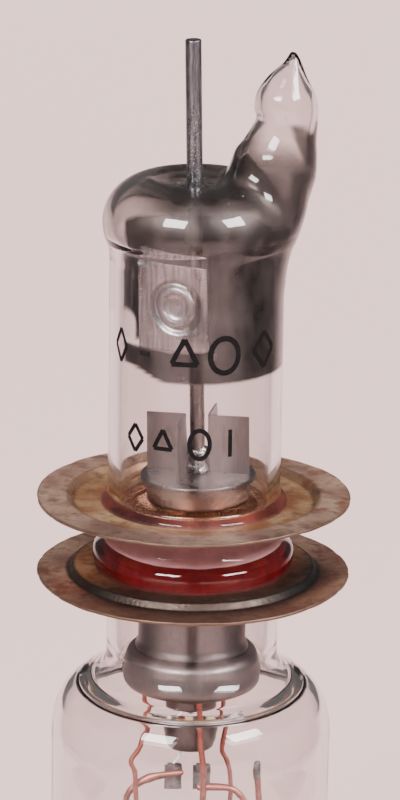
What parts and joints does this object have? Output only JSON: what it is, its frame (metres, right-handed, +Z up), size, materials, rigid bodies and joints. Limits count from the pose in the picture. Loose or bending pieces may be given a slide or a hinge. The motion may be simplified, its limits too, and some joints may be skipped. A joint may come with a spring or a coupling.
{
  "type": "disc-seal reflex klystron",
  "caption": "Glass microwave oscillator tube with two contact discs, a reflector pin on top, an electron gun inside and an octal base.",
  "frame": {"origin": "centre of the base's seat face, on the circle of base pins", "axes": "+Z up the tube from the base pins to the reflector pin; the exhaust tip stands towards +X; the key's rib points to -Y"},
  "size_m": [0.0326, 0.0326, 0.1187],
  "materials": {
    "clear_glass": "clear, smooth",
    "smoky_glass": "clear glass with a grey film on its inside",
    "red_seal_glass": "clear glass over red copper oxide",
    "gap_glass": "clear glass lit pink by the copper seals",
    "press_glass": "clear, fused",
    "nickel": "satin nickel, slightly tarnished",
    "bright_nickel": "bright nickel",
    "pin_alloy": "dark oxidised alloy",
    "plated_copper": "silver-plated copper, heat-stained and tarnished",
    "bright_copper": "bright copper",
    "grid_gold": "gold-plated wire",
    "lead_copper": "copper-clad wire, matt pink",
    "clip_steel": "dark oxidised",
    "oxide_white": "matt white",
    "alumina": "matt ivory",
    "cement": "matt tan cement",
    "phenolic": "dark brown moulded phenolic",
    "pin_plating": "nickel-plated brass",
    "solder": "dull tin-lead solder"
  },
  "bodies": {
    "root": {"reflector_pin": "pin_alloy", "reflector_stem": "nickel", "rod_seal_bead": "smoky_glass", "upper_envelope": "smoky_glass", "exhaust_tip": "clear_glass", "getter_plate": "bright_nickel", "getter_cup": "bright_nickel", "getter_strap": "nickel", "reflector_collar": "bright_nickel", "reflector_cover": "bright_nickel", "reflector_cup": "nickel", "fin_bracket_left": "nickel", "fin_bracket_right": "nickel", "upper_disc": "plated_copper", "upper_outer_bead": "red_seal_glass", "upper_inner_bead": "red_seal_glass", "upper_grid_cone": "bright_copper", "upper_grid": "grid_gold", "gap_glass": "gap_glass", "lower_grid": "grid_gold", "lower_grid_cone": "bright_copper", "lower_inner_bead": "red_seal_glass", "lower_disc": "plated_copper", "lower_outer_bead": "red_seal_glass", "gun_sleeve": "nickel", "gun_cup": "nickel", "gun_can": "nickel", "focus_ring": "nickel", "cathode_cap": "oxide_white", "cathode_sleeve": "nickel", "gun_insulator": "alumina", "heater": "oxide_white", "neck_glass": "clear_glass", "bulb_glass": "clear_glass", "stem_flare": "clear_glass", "stem_press": "press_glass", "centre_lead": "lead_copper", "left_lead": "lead_copper", "right_lead": "lead_copper", "left_hook_lead": "lead_copper", "right_hook_lead": "lead_copper", "stub_lead": "lead_copper", "heater_clips": "clip_steel", "pin_leads": "lead_copper", "base_cement": "cement", "base_shell": "phenolic", "base_pins": "pin_plating", "pin_solder": "solder"}
  },
  "joints": []
}
